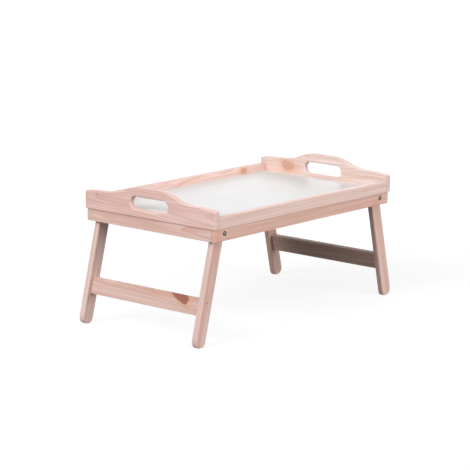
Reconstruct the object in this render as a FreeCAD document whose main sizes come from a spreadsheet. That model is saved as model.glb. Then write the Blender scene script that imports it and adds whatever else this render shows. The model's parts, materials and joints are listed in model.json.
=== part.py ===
import FreeCAD, Part
import math
import os
import re

import Sketcher
from FreeCAD import Placement, Rotation, Vector

# Bed tray table of pale pine: a tray with camel-back end boards and a white panel stands on a
# lower frame, in which two leg frames fold inwards. Millimetres, +Z up. X runs along the table,
# Y across it from front to back, and the origin is on the floor under the middle.

SIZES = (
    ("table_length", 600, "over the two end boards"),
    ("table_width", 350, "over the two long tray rails"),
    ("tray_base", 239, "floor to the underside of the tray frame, legs open"),
    ("tray_stock", 14, "thickness of the end boards and tray rails"),
    ("board_ease", 1.2, "chamfer that eases the edges of the boards"),
    ("crest_height", 61, "end board from its underside to the flat of its crest"),
    ("crest_half", 22, "half the flat of the crest"),
    ("shoulder_height", 40.8, "end board where the crest's curve has levelled out"),
    ("shoulder_start", 114, "from the middle to that place"),
    ("shoulder_radius", 520, "slow fall of the shoulder towards the corner"),
    ("corner_radius", 3.5, "upper corner of an end board"),
    ("slot_length", 100, "handle slot over its round ends"),
    ("slot_height", 26, "handle slot"),
    ("slot_centre", 28.5, "handle slot's middle over the end board's underside"),
    ("slot_ease", 2, "chamfer that eases the rim of the handle slot"),
    ("rail_height", 24.5, "tray rails"),
    ("groove_base", 5.5, "panel groove over the underside of the tray frame"),
    ("groove_depth", 4, "panel groove"),
    ("panel_stock", 3, "thickness of the panel"),
    ("tenon_length", 6, "stub tenons of the tray rails and the cross strips"),
    ("rail_tenon_stock", 6, "thickness of a tray rail's tenon"),
    ("rail_tenon_base", 11, "underside of a tray rail to the underside of its tenon"),
    ("rail_tenon_height", 10, "height of that tenon"),
    ("apron_setback", 3, "lower frame behind the tray's faces"),
    ("apron_height", 25.5, "lower frame"),
    ("apron_stock", 11, "thickness of the lower frame's boards"),
    ("strip_tenon_stock", 5, "thickness of a cross strip's tenon"),
    ("strip_tenon_height", 15.5, "height of that tenon"),
    ("leg_width", 30, "leg batten, seen from the front"),
    ("leg_stock", 13, "leg batten, seen from the side"),
    ("leg_ease", 1.5, "chamfer that eases the edges of the legs"),
    ("splay_angle", 14, "open leg out of the upright, in degrees"),
    ("pivot_drop", 10.1, "pivot axis under the tray frame"),
    ("stop_gap", 0.3, "between an open leg and the strip that stops it"),
    ("side_gap", 0.3, "between a leg and the washer or nut on each of its sides"),
    ("washer_stock", 1, "washer between a leg and the long rail"),
    ("washer_width", 12, "that washer, and the nut's flange"),
    ("bolt_bore", 5, "pivot bolt"),
    ("bolt_play", 0.15, "leg's hole over the bolt"),
    ("bolt_length", 33, "pivot bolt under its head"),
    ("bolt_head_width", 9.5, "button head"),
    ("bolt_head_height", 2.7, "button head"),
    ("bolt_head_bevel", 1.6, "chamfer of the button head"),
    ("socket_width", 4, "hexagon socket across its flats"),
    ("socket_depth", 1.8, "hexagon socket"),
    ("nut_width", 8, "flange lock nut across its flats"),
    ("nut_stock", 6, "flange lock nut with its flange"),
    ("flange_stock", 1, "nut's flange"),
    ("stretcher_height", 36, "board between two legs"),
    ("stretcher_stock", 12, "thickness of that board"),
    ("stretcher_reach", 153.8, "pivot to the middle of that board, along the leg"),
    ("leg_tenon_stock", 6, "thickness of a stretcher's tenon"),
    ("leg_tenon_height", 24, "height of that tenon"),
    ("leg_tenon_length", 8, "stub tenons of the stretchers"),
)

# Lengths and places worked out from the sizes, as the expressions that the pieces are bound to.
HALF_LENGTH = "(table_length / 2)"
HALF_WIDTH = "(table_width / 2)"
RAIL_LENGTH = "(table_length - 2 * tray_stock)"
GROOVE_TOP = "(groove_base + panel_stock)"
RAIL_MIDDLE_Y = "(table_width / 2 - tray_stock / 2)"
APRON_HALF_LENGTH = "(table_length / 2 - apron_setback)"
APRON_HALF_WIDTH = "(table_width / 2 - apron_setback)"
APRON_BASE = "(tray_base - apron_height)"
STRIP_LENGTH = "(table_width - 2 * apron_setback - 2 * apron_stock)"
STRIP_TENON_BASE = "(apron_height / 2 - strip_tenon_height / 2)"
STRIP_MIDDLE_X = "(table_length / 2 - apron_setback - apron_stock / 2)"
PIVOT_Z = "(tray_base - pivot_drop)"
LEG_OUTER_Y = f"({APRON_HALF_WIDTH} - apron_stock - washer_stock - side_gap)"
LEG_MIDDLE_Y = f"({LEG_OUTER_Y} - leg_stock / 2)"
LEG_INNER_Y = f"({LEG_OUTER_Y} - leg_stock)"
FOOT_REACH = f"(({PIVOT_Z} - leg_width / 2) / cos(splay_angle))"

# The open leg's outer edge meets the lower inner edge of the strip, which sets the pivot's X.
STOP_DROP = "(apron_height - pivot_drop - board_ease)"
STOP_RUN = f"((leg_width / 2 + stop_gap + {STOP_DROP} * sin(splay_angle)) / cos(splay_angle))"
PIVOT_X = f"({APRON_HALF_LENGTH} - apron_stock - {STOP_RUN})"

doc = FreeCAD.newDocument("bed_tray_table")
sheet = doc.addObject("Spreadsheet::Sheet", "Sizes")
for row, (alias, size, meaning) in enumerate(SIZES, start=1):
    sheet.set(f"A{row}", alias)
    sheet.set(f"B{row}", str(size))
    sheet.setAlias(f"B{row}", alias)
    sheet.set(f"C{row}", meaning)
doc.recompute()

# A sketch's names for its own axes and origin, and for a curve's points.
START = 1
END = 2
CENTRE = 3
X_AXIS = -1
Y_AXIS = -2
ORIGIN = (X_AXIS, START)
NEAR = 1e-4


# ---------------------------------------------------------------- expressions

def value(expression):
    """Number that an expression of sizes has now."""
    return float(sheet.evalExpression(expression))


def on_sheet(expression):
    """The expression with each size read from the sheet, as other objects write it."""
    return re.sub(r"\b[a-z]+(?:_[a-z]+)+\b", lambda name: "Sizes." + name.group(), expression)


# ------------------------------------------------------------------- sketches

def bind(sketch, kind, operands, expression):
    """Constraint whose size follows an expression."""
    index = sketch.addConstraint(Sketcher.Constraint(kind, *operands, value(expression)))
    sketch.setExpression(f"Constraints[{index}]", on_sheet(expression))


def fix_point(sketch, curve, end, place):
    """Hold one point of a curve at an (x, y) pair of expressions from the origin."""
    for kind, axis, expression in (("DistanceX", Y_AXIS, place[0]), ("DistanceY", X_AXIS, place[1])):
        if expression == "0":
            sketch.addConstraint(Sketcher.Constraint("PointOnObject", curve, end, axis))
        else:
            bind(sketch, kind, (*ORIGIN, curve, end), expression)


def polygon(sketch, corners):
    """Closed outline through (x, y) pairs of expressions."""
    points = [Vector(value(x), value(y), 0) for x, y in corners]
    count = len(points)
    sides = [Part.LineSegment(points[i], points[(i + 1) % count]) for i in range(count)]
    curves = sketch.addGeometry(sides, False)
    for i, corner in enumerate(corners):
        following = curves[(i + 1) % count]
        sketch.addConstraint(Sketcher.Constraint("Coincident", curves[i], END, following, START))
        fix_point(sketch, curves[i], START, corner)


def rectangle(sketch, left, right, bottom, top):
    """Closed rectangle between four expressions."""
    polygon(sketch, [(left, bottom), (right, bottom), (right, top), (left, top)])


def hexagon(sketch, width):
    """Closed hexagon about the origin, from its width across the flats; two sides stand upright."""
    places = [(f"{width} / sqrt(3) * cos({degrees})", f"{width} / sqrt(3) * sin({degrees})")
              for degrees in range(30, 390, 60)]
    polygon(sketch, [("0" if abs(value(x)) < NEAR else x, y) for x, y in places])


def circle(sketch, place, width):
    """Circle about an (x, y) pair of expressions, from its width."""
    centre = Vector(value(place[0]), value(place[1]), 0)
    curve = sketch.addGeometry(Part.Circle(centre, Vector(0, 0, 1), value(width) / 2), False)
    fix_point(sketch, curve, CENTRE, place)
    bind(sketch, "Diameter", (curve,), width)


def arc(centre, radius, first, last):
    """Arc that runs anticlockwise from one direction to another, in radians."""
    return Part.ArcOfCircle(Part.Circle(centre, Vector(0, 0, 1), radius), first, last)


def obround(sketch, first, second, width):
    """Closed slot outline of a given width round two centres."""
    centres = [Vector(value(x), value(y), 0) for x, y in (first, second)]
    along = centres[1] - centres[0]
    heading = math.atan2(along.y, along.x)
    quarter = math.pi / 2
    caps = [arc(centre, value(width) / 2, heading + turn - quarter, heading + turn + quarter)
            for centre, turn in zip(centres, (math.pi, 0))]
    sides = [Part.LineSegment(caps[0].EndPoint, caps[1].StartPoint),
             Part.LineSegment(caps[1].EndPoint, caps[0].StartPoint)]
    tail, head, under, over = sketch.addGeometry(caps + sides, False)
    for one, two in ((tail, under), (under, head), (head, over), (over, tail)):
        sketch.addConstraint(Sketcher.Constraint("Tangent", one, END, two, START))
    sketch.addConstraint(Sketcher.Constraint("Equal", tail, head))
    fix_point(sketch, tail, CENTRE, first)
    fix_point(sketch, head, CENTRE, second)
    bind(sketch, "Diameter", (tail,), width)


def camel_back_curves():
    """Curves of half an end board's outline, anticlockwise from its middle at the bottom."""
    half, crest, flat = value(HALF_WIDTH), value("crest_height"), value("crest_half")
    start, level = value("shoulder_start"), value("shoulder_height")
    slow, corner = value("shoulder_radius"), value("corner_radius")
    quarter = math.pi / 2

    run, rise = start - flat, crest - level
    swing = (run * run + rise * rise) / (4 * rise)
    turn = math.asin(run / (2 * swing))
    hollow = arc(Vector(start, level + swing, 0), swing, -quarter - turn, -quarter)
    brow = arc(Vector(flat, crest - swing, 0), swing, quarter - turn, quarter)

    slow_centre = Vector(start, level - slow, 0)
    across = half - corner - start
    above = math.sqrt((slow - corner) ** 2 - across ** 2)
    corner_centre = Vector(half - corner, slow_centre.y + above, 0)
    lean = math.atan2(above, across)
    shoulder = arc(slow_centre, slow, lean, quarter)
    high_corner = arc(corner_centre, corner, 0, lean)

    middle_foot, middle_top, low_corner = Vector(0, 0, 0), Vector(0, crest, 0), Vector(half, 0, 0)
    return [Part.LineSegment(middle_foot, low_corner), Part.LineSegment(low_corner, high_corner.StartPoint),
            high_corner, shoulder, hollow, brow,
            Part.LineSegment(brow.EndPoint, middle_top), Part.LineSegment(middle_top, middle_foot)]


def camel_back_half(sketch):
    """Half an end board's outline, from its middle line out to the right.

    Two equal arcs make the S from the crest down to the shoulder, and a slow arc falls from
    there to the rounded upper corner.
    """
    curves = sketch.addGeometry(camel_back_curves(), False)
    bottom, edge, high_corner, shoulder, hollow, brow, top, middle = curves
    joins = (("Coincident", bottom, START, X_AXIS, START),
             ("Coincident", bottom, END, edge, START),
             ("Tangent", edge, END, high_corner, START),
             ("Tangent", high_corner, END, shoulder, START),
             ("Coincident", shoulder, END, hollow, END),
             ("Tangent", hollow, START, brow, START),
             ("Tangent", brow, END, top, START),
             ("Coincident", top, END, middle, START),
             ("Coincident", middle, END, bottom, START),
             ("Vertical", shoulder, CENTRE, shoulder, END),
             ("Vertical", hollow, CENTRE, hollow, END),
             ("Horizontal", bottom),
             ("Horizontal", top),
             ("Vertical", edge),
             ("Vertical", middle),
             ("Equal", hollow, brow))
    for join in joins:
        sketch.addConstraint(Sketcher.Constraint(*join))
    bind(sketch, "Radius", (high_corner,), "corner_radius")
    bind(sketch, "Radius", (shoulder,), "shoulder_radius")
    bind(sketch, "DistanceX", (*ORIGIN, edge, START), HALF_WIDTH)
    bind(sketch, "DistanceY", (*ORIGIN, top, END), "crest_height")
    bind(sketch, "DistanceX", (*ORIGIN, brow, END), "crest_half")
    bind(sketch, "DistanceX", (*ORIGIN, shoulder, END), "shoulder_start")
    bind(sketch, "DistanceY", (*ORIGIN, shoulder, END), "shoulder_height")


# -------------------------------------------------------------- pieces' steps

PIECES = []


def new_piece(name, x="0", y="0", z="0", turned=False, tilt=None):
    """Body named after its piece and put in its place.

    turned: half round about the upright. tilt: expression of degrees about Y.
    """
    piece = doc.addObject("PartDesign::Body", name)
    piece.Label = name
    piece.AllowCompound = True
    if turned:
        piece.Placement = Placement(Vector(), Rotation(Vector(0, 0, 1), 180))
    if tilt:
        piece.Placement = Placement(Vector(), Rotation(Vector(0, 1, 0), value(tilt)))
        piece.setExpression(".Placement.Rotation.Angle", on_sheet(tilt))
    for axis, expression in (("x", x), ("y", y), ("z", z)):
        piece.setExpression(".Placement.Base." + axis, on_sheet(expression))
    PIECES.append(piece)
    return piece


def own_plane(piece, role):
    """One of the piece's own origin planes."""
    return next(item for item in piece.Origin.OriginFeatures if item.Role == role)


def new_sketch(piece, role, lift=None):
    """Sketch on an origin plane of the piece, lifted along the plane's normal."""
    sketch = piece.newObject("Sketcher::SketchObject", piece.Name + "_sketch")
    sketch.AttachmentSupport = (own_plane(piece, role), [""])
    sketch.MapMode = "FlatFace"
    if lift:
        sketch.setExpression(".AttachmentOffset.Base.z", on_sheet(lift))
    doc.recompute()
    return sketch


def pad(piece, sketch, length, centred=False, backwards=False):
    """Solid drawn out of a sketch, along its normal unless backwards."""
    feature = piece.newObject("PartDesign::Pad", piece.Name + "_pad")
    feature.Profile = sketch
    feature.SideType = "Symmetric" if centred else "One side"
    feature.Reversed = backwards
    feature.setExpression("Length", on_sheet(length))
    doc.recompute()
    return feature


def cut(piece, sketch, depth=None, forwards=False):
    """Pocket against the sketch's normal unless forwards; right through without a depth."""
    before = piece.Shape.Volume
    feature = piece.newObject("PartDesign::Pocket", piece.Name + "_cut")
    feature.Profile = sketch
    feature.Reversed = forwards
    if depth:
        feature.setExpression("Length", on_sheet(depth))
    else:
        feature.Type = "ThroughAll"
    doc.recompute()
    if piece.Shape.Volume > before - NEAR:
        raise RuntimeError(piece.Label + ": a pocket takes nothing away")


def turn_solid(piece, sketch):
    """Solid of revolution about the horizontal axis of its sketch."""
    feature = piece.newObject("PartDesign::Revolution", piece.Name + "_turned")
    feature.Profile = sketch
    feature.ReferenceAxis = (sketch, ["H_Axis"])
    feature.Angle = 360
    doc.recompute()


def mirror(piece, feature, role):
    """The feature again on the other side of an origin plane."""
    twin = piece.newObject("PartDesign::Mirrored", piece.Name + "_mirrored")
    twin.Originals = [feature]
    twin.MirrorPlane = (own_plane(piece, role), [""])
    piece.Tip = twin
    doc.recompute()


def ease(piece, size, chosen):
    """Chamfer the edges of the piece's last feature that a test chooses."""
    last = piece.Tip
    names = [f"Edge{i}" for i, edge in enumerate(last.Shape.Edges, start=1) if chosen(edge)]
    feature = piece.newObject("PartDesign::Chamfer", piece.Name + "_eased")
    feature.Base = (last, names)
    feature.setExpression("Size", on_sheet(size))
    doc.recompute()


def in_plane(edge, axis, place):
    """Whether an edge lies in the plane across an axis, at a number."""
    box = edge.BoundBox
    low, high = getattr(box, axis + "Min"), getattr(box, axis + "Max")
    return abs(low - place) < NEAR and abs(high - place) < NEAR


def runs_along(edge, axis):
    """Whether a straight edge runs along an axis."""
    return isinstance(edge.Curve, Part.Line) and abs(abs(getattr(edge.Curve.Direction, axis)) - 1) < NEAR


def side_of(sign, expression):
    """The expression on the negative or the positive side."""
    return expression if sign > 0 else "-" + expression


# ----------------------------------------------------------------------- tray

def on_board_face(edge):
    """Whether an edge lies in the outer or the inner face of an end board."""
    return in_plane(edge, "X", 0) or in_plane(edge, "X", value("tray_stock"))


def round_the_slot(edge):
    """Whether an edge lies no further out than the handle slot."""
    box = edge.BoundBox
    top, bottom = value("slot_centre + slot_height / 2"), value("slot_centre - slot_height / 2")
    within_height = box.ZMin > bottom - NEAR and box.ZMax < top + NEAR
    return within_height and max(-box.YMin, box.YMax) < value("slot_length / 2") + NEAR


def end_board(name, sign):
    """Camel-back board with a handle slot, grooved and mortised inside."""
    board = new_piece(name, x=side_of(sign, HALF_LENGTH), z="tray_base", turned=sign > 0)
    outline = new_sketch(board, "YZ_Plane")
    camel_back_half(outline)
    mirror(board, pad(board, outline, "tray_stock"), "XZ_Plane")
    ease(board, "board_ease", on_board_face)
    slot = new_sketch(board, "YZ_Plane")
    reach = "((slot_length - slot_height) / 2)"
    obround(slot, ("-" + reach, "slot_centre"), (reach, "slot_centre"), "slot_height")
    cut(board, slot, forwards=True)
    ease(board, "slot_ease", lambda edge: on_board_face(edge) and round_the_slot(edge))

    groove = new_sketch(board, "YZ_Plane", lift="tray_stock")
    half = f"({HALF_WIDTH} - tray_stock + groove_depth)"
    rectangle(groove, "-" + half, half, "groove_base", GROOVE_TOP)
    cut(board, groove, "groove_depth")
    mortises = new_sketch(board, "YZ_Plane", lift="tray_stock")
    for side in (-1, 1):
        middle = side_of(side, RAIL_MIDDLE_Y)
        rectangle(mortises, f"({middle} - rail_tenon_stock / 2)", f"({middle} + rail_tenon_stock / 2)",
                  "rail_tenon_base", "(rail_tenon_base + rail_tenon_height)")
    cut(board, mortises, "tenon_length")


def tray_rail(name, sign):
    """Long low board of the tray, with the panel's groove along its inner face."""
    rail = new_piece(name, y=side_of(sign, HALF_WIDTH), z="tray_base", turned=sign > 0)
    section = new_sketch(rail, "YZ_Plane")
    floor_of_groove = "(tray_stock - groove_depth)"
    polygon(section, [("0", "0"), ("tray_stock", "0"), ("tray_stock", "groove_base"),
                      (floor_of_groove, "groove_base"), (floor_of_groove, GROOVE_TOP),
                      ("tray_stock", GROOVE_TOP), ("tray_stock", "rail_height"), ("0", "rail_height")])
    pad(rail, section, RAIL_LENGTH, centred=True)
    top = value("rail_height")
    ease(rail, "board_ease",
         lambda edge: runs_along(edge, "x") and (in_plane(edge, "Z", 0) or in_plane(edge, "Z", top)))
    tenons = new_sketch(rail, "YZ_Plane")
    shoulder = "(tray_stock / 2 - rail_tenon_stock / 2)"
    rectangle(tenons, shoulder, f"({shoulder} + rail_tenon_stock)",
              "rail_tenon_base", "(rail_tenon_base + rail_tenon_height)")
    pad(rail, tenons, f"({RAIL_LENGTH} + 2 * tenon_length)", centred=True)


def tray_panel():
    """Thin white sheet that lies in the four grooves."""
    panel = new_piece("tray_panel", z="(tray_base + groove_base)")
    outline = new_sketch(panel, "XY_Plane")
    half_x = f"({HALF_LENGTH} - tray_stock + groove_depth)"
    half_y = f"({HALF_WIDTH} - tray_stock + groove_depth)"
    rectangle(outline, "-" + half_x, half_x, "-" + half_y, half_y)
    pad(panel, outline, "panel_stock")


# ---------------------------------------------------------------- lower frame

def apron_rail(name, sign):
    """Long board of the lower frame, which carries two pivots."""
    rail = new_piece(name, y=side_of(sign, APRON_HALF_WIDTH), z=APRON_BASE, turned=sign > 0)
    section = new_sketch(rail, "YZ_Plane")
    rectangle(section, "0", "apron_stock", "0", "apron_height")
    pad(rail, section, f"(2 * {APRON_HALF_LENGTH})", centred=True)
    ease(rail, "board_ease", lambda edge: runs_along(edge, "x"))
    pivots = new_sketch(rail, "XZ_Plane")
    mortises = new_sketch(rail, "XZ_Plane", lift="-apron_stock")
    for side in (-1, 1):
        circle(pivots, (side_of(side, PIVOT_X), "(apron_height - pivot_drop)"), "bolt_bore")
        middle = side_of(side, STRIP_MIDDLE_X)
        rectangle(mortises, f"({middle} - strip_tenon_stock / 2)", f"({middle} + strip_tenon_stock / 2)",
                  STRIP_TENON_BASE, f"({STRIP_TENON_BASE} + strip_tenon_height)")
    cut(rail, pivots)
    cut(rail, mortises, "tenon_length", forwards=True)


def apron_strip(name, sign):
    """Cross strip of the lower frame; an open leg leans on its lower inner edge."""
    strip = new_piece(name, x=side_of(sign, APRON_HALF_LENGTH), z=APRON_BASE, turned=sign > 0)
    section = new_sketch(strip, "XZ_Plane")
    rectangle(section, "0", "apron_stock", "0", "apron_height")
    pad(strip, section, STRIP_LENGTH, centred=True)
    ease(strip, "board_ease", lambda edge: runs_along(edge, "y"))
    tenons = new_sketch(strip, "XZ_Plane")
    shoulder = "(apron_stock / 2 - strip_tenon_stock / 2)"
    rectangle(tenons, shoulder, f"({shoulder} + strip_tenon_stock)",
              STRIP_TENON_BASE, f"({STRIP_TENON_BASE} + strip_tenon_height)")
    pad(strip, tenons, f"({STRIP_LENGTH} + 2 * tenon_length)", centred=True)


# --------------------------------------------------------------------- pivots

def on_pivot(name, x_sign, y_sign, depth):
    """Piece at a pivot, a depth inside the lower frame's long face, facing out."""
    x = side_of(x_sign, PIVOT_X)
    y = side_of(y_sign, f"({APRON_HALF_WIDTH} - {depth})")
    return new_piece(name, x=x, y=y, z=PIVOT_Z, turned=y_sign > 0)


def pivot_bolt(name, x_sign, y_sign):
    """Button-head bolt with a hexagon socket, its head on the rail's outer face."""
    bolt = on_pivot(name, x_sign, y_sign, "0")
    section = new_sketch(bolt, "YZ_Plane")
    shank, head = "(bolt_bore / 2)", "(bolt_head_width / 2)"
    polygon(section, [("-bolt_head_height", "0"), ("-bolt_head_height", f"({head} - bolt_head_bevel)"),
                      ("(bolt_head_bevel - bolt_head_height)", head), ("0", head), ("0", shank),
                      ("bolt_length", shank), ("bolt_length", "0")])
    turn_solid(bolt, section)
    socket = new_sketch(bolt, "XZ_Plane", lift="bolt_head_height")
    hexagon(socket, "socket_width")
    cut(bolt, socket, "socket_depth")


def pivot_washer(name, x_sign, y_sign):
    """Flat ring on the bolt that keeps the leg off the long rail."""
    ring = on_pivot(name, x_sign, y_sign, "apron_stock")
    outline = new_sketch(ring, "XZ_Plane")
    circle(outline, ("0", "0"), "washer_width")
    circle(outline, ("0", "0"), "bolt_bore")
    pad(ring, outline, "washer_stock", backwards=True)


def pivot_nut(name, x_sign, y_sign):
    """Flange lock nut on the leg's inner side, its flange towards the leg."""
    nut = on_pivot(name, x_sign, y_sign, "(apron_stock + washer_stock + 2 * side_gap + leg_stock)")
    flange = new_sketch(nut, "XZ_Plane")
    circle(flange, ("0", "0"), "washer_width")
    pad(nut, flange, "flange_stock", backwards=True)
    outline = new_sketch(nut, "XZ_Plane")
    hexagon(outline, "nut_width")
    pad(nut, outline, "nut_stock", backwards=True)
    bore = new_sketch(nut, "XZ_Plane")
    circle(bore, ("0", "0"), "bolt_bore")
    cut(nut, bore)


# ----------------------------------------------------------------- leg frames

def in_leg_frame(name, x_sign, y="0"):
    """Piece whose own Z axis runs up an open leg, from the pivot."""
    return new_piece(name, x=side_of(x_sign, PIVOT_X), y=y, z=PIVOT_Z,
                     tilt="-splay_angle" if x_sign > 0 else "splay_angle")


def tenon_outline(sketch):
    """Outline of a stretcher's tenon and of the mortise that takes it."""
    rectangle(sketch, "(-leg_tenon_stock / 2)", "(leg_tenon_stock / 2)",
              "(-stretcher_reach - leg_tenon_height / 2)", "(-stretcher_reach + leg_tenon_height / 2)")


def leg(name, x_sign, y_sign):
    """Flat batten with round ends, bored for its bolt and mortised for the stretcher."""
    batten = in_leg_frame(name, x_sign, y=side_of(y_sign, LEG_MIDDLE_Y))
    outline = new_sketch(batten, "XZ_Plane")
    obround(outline, ("0", "0"), ("0", "-" + FOOT_REACH), "leg_width")
    pad(batten, outline, "leg_stock", centred=True)
    half = value("leg_stock") / 2
    ease(batten, "leg_ease", lambda edge: in_plane(edge, "Y", half) or in_plane(edge, "Y", -half))
    bore = new_sketch(batten, "XZ_Plane", lift="leg_stock / 2")
    circle(bore, ("0", "0"), "(bolt_bore + bolt_play)")
    cut(batten, bore)
    mortise = new_sketch(batten, "XZ_Plane", lift="leg_stock / 2" if y_sign > 0 else "-leg_stock / 2")
    tenon_outline(mortise)
    cut(batten, mortise, "leg_tenon_length", forwards=y_sign < 0)


def stretcher(name, x_sign):
    """Board between the two legs of a frame, in the middle of their width."""
    board = in_leg_frame(name, x_sign)
    section = new_sketch(board, "XZ_Plane")
    rectangle(section, "-stretcher_stock / 2", "stretcher_stock / 2",
              "(-stretcher_reach - stretcher_height / 2)", "(-stretcher_reach + stretcher_height / 2)")
    pad(board, section, f"(2 * {LEG_INNER_Y})", centred=True)
    ease(board, "board_ease", lambda edge: runs_along(edge, "y"))
    tenons = new_sketch(board, "XZ_Plane")
    tenon_outline(tenons)
    pad(board, tenons, f"(2 * ({LEG_INNER_Y} + leg_tenon_length))", centred=True)


# ----------------------------------------------------------------- assembling

LEFT_RIGHT = (("left", -1), ("right", 1))
FRONT_BACK = (("front", -1), ("back", 1))


def build_tray():
    for side, sign in LEFT_RIGHT:
        end_board(f"end_board_{side}", sign)
    for side, sign in FRONT_BACK:
        tray_rail(f"tray_rail_{side}", sign)
    tray_panel()


def build_lower_frame():
    for side, sign in FRONT_BACK:
        apron_rail(f"apron_rail_{side}", sign)
    for side, sign in LEFT_RIGHT:
        apron_strip(f"apron_strip_{side}", sign)


def build_pivots():
    for x_name, x_sign in LEFT_RIGHT:
        for y_name, y_sign in FRONT_BACK:
            corner = f"{x_name}_{y_name}"
            pivot_bolt(f"pivot_bolt_{corner}", x_sign, y_sign)
            pivot_washer(f"pivot_washer_{corner}", x_sign, y_sign)
            pivot_nut(f"pivot_nut_{corner}", x_sign, y_sign)


def build_leg_frames():
    for x_name, x_sign in LEFT_RIGHT:
        for y_name, y_sign in FRONT_BACK:
            leg(f"leg_{x_name}_{y_name}", x_sign, y_sign)
        stretcher(f"stretcher_{x_name}", x_sign)


def check_model():
    """Stop when anything in the document has failed."""
    doc.recompute()
    for item in doc.Objects:
        if {"Invalid", "Error"} & set(item.State):
            raise RuntimeError(f"{item.Name}: {item.State}")
    for piece in PIECES:
        if piece.Shape.isNull() or not piece.Shape.isValid() or not piece.Shape.Solids:
            raise RuntimeError(piece.Label + ": no valid solid")


def write_parts():
    os.makedirs("parts", exist_ok=True)
    for piece in PIECES:
        piece.Shape.exportStep(f"parts/{piece.Label}.step")
        box = piece.Shape.optimalBoundingBox(False, False)
        print(f"{piece.Label:26s} solids {len(piece.Shape.Solids)}  volume {piece.Shape.Volume:9.1f}  "
              f"size {box.XLength:6.2f} x {box.YLength:6.2f} x {box.ZLength:6.2f}")


build_tray()
build_lower_frame()
build_pivots()
build_leg_frames()
check_model()
write_parts()
print("pivots at x", round(value(PIVOT_X), 3), "and z", round(value(PIVOT_Z), 3))
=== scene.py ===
"""Looks of a folding bed tray table of pale pine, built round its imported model.

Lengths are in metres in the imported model's frame: +X along the table, +Y away from the sitter
and +Z up, with the origin on the floor under the middle of the tray.
"""
import json
import math

import bmesh
import bpy
import numpy as np
from bpy.props import FloatProperty, FloatVectorProperty, PointerProperty
from bpy.types import Operator, Panel, PropertyGroup
from mathutils import Matrix, Vector


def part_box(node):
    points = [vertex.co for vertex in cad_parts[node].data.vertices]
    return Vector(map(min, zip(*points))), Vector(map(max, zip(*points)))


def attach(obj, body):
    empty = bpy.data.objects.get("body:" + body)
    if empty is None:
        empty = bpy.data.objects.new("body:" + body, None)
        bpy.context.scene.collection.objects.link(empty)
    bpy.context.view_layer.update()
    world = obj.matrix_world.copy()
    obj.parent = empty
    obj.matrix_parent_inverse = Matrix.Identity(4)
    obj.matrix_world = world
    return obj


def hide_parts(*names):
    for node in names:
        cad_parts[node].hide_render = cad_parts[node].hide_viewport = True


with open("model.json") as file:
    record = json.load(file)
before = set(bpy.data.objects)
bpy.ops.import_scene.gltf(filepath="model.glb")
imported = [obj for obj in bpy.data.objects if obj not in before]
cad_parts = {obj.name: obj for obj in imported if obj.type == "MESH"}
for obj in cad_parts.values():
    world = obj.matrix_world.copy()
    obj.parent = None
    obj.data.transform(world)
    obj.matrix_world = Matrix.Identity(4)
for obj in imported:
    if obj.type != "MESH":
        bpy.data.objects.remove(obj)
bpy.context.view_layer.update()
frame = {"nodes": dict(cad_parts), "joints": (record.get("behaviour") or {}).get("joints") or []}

bl_info = {
    "name": "Bed Tray Table",
    "version": (1, 0, 0),
    "blender": (4, 5, 0),
    "location": "View3D > Sidebar > Bed Tray",
    "description": "Builds the pine boards, the white panel and the fastenings of a bed tray table",
    "category": "Add Mesh",
}

SIDES = (("left", -1), ("right", 1))
FACES = (("front", -1), ("back", 1))
HINGES = {joint["child"]: joint for joint in frame["joints"]}
BOARD_LOW, BOARD_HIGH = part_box("end_board_left")
APRON_LOW, APRON_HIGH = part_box("apron_rail_front")
SUPPORT = 0.0003  # from a rounded edge to the row of points that keeps the face beside it flat


# ------------------------------------------------------------------- settings

def length(name, description, default):
    """A length that the user may change, in metres."""
    return FloatProperty(name=name, description=description, default=default, min=0, precision=5,
                         unit="LENGTH")


def colour(name, description, default):
    """A colour that the user may change."""
    return FloatVectorProperty(name=name, description=description, default=default, size=3,
                               min=0, max=1, subtype="COLOR")


class BedTraySizes(PropertyGroup):
    board_round: length("Board edge", "Radius of the boards' softened edges", 0.0010)
    frame_round: length("Lower frame edge", "Radius of the lower frame's softened edges", 0.0008)
    joint_round: length("Joint edge", "Radius at the ends of boards that meet another", 0.0003)
    leg_round: length("Leg edge", "Radius of the legs' softened edges", 0.0025)
    slot_round: length("Slot rim", "Radius of the handle slot's softened rim", 0.0034)
    crest_half: length("Crest", "Half the flat of the end board's crest", 0.022)
    shoulder_height: length("Shoulder height", "End board where the crest's curve ends", 0.0408)
    shoulder_start: length("Shoulder start", "From the middle to that place", 0.114)
    shoulder_radius: length("Shoulder radius", "Slow fall of the shoulder", 0.52)
    corner_round: length("Upper corner", "Radius of the end board's upper corners", 0.0035)
    slot_length: length("Slot length", "Handle slot over its round ends", 0.1)
    slot_height: length("Slot height", "Handle slot", 0.026)
    slot_middle: length("Slot place", "Middle of the slot over the board's underside", 0.0285)
    leg_width: length("Leg width", "Leg seen from the front", 0.03)
    leg_stock: length("Leg stock", "Leg seen from the side", 0.013)
    foot_power: FloatProperty(name="Foot", description="2 for a round foot, more for a blunt one",
                              default=2.4, min=2, max=6)
    leg_bore: length("Leg bore", "Hole in the leg for its bolt", 0.00515)
    stretcher_height: length("Stretcher height", "Board between two legs", 0.036)
    stretcher_stock: length("Stretcher stock", "Thickness of that board", 0.012)
    stretcher_reach: length("Stretcher place", "Pivot to the middle of the stretcher", 0.1538)
    pin_reach: length("Pin place", "Pivot to the pin that holds the stretcher", 0.1437)
    splay: FloatProperty(name="Splay", description="Open leg out of the upright",
                         default=math.radians(14), subtype="ANGLE", unit="ROTATION")


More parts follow.
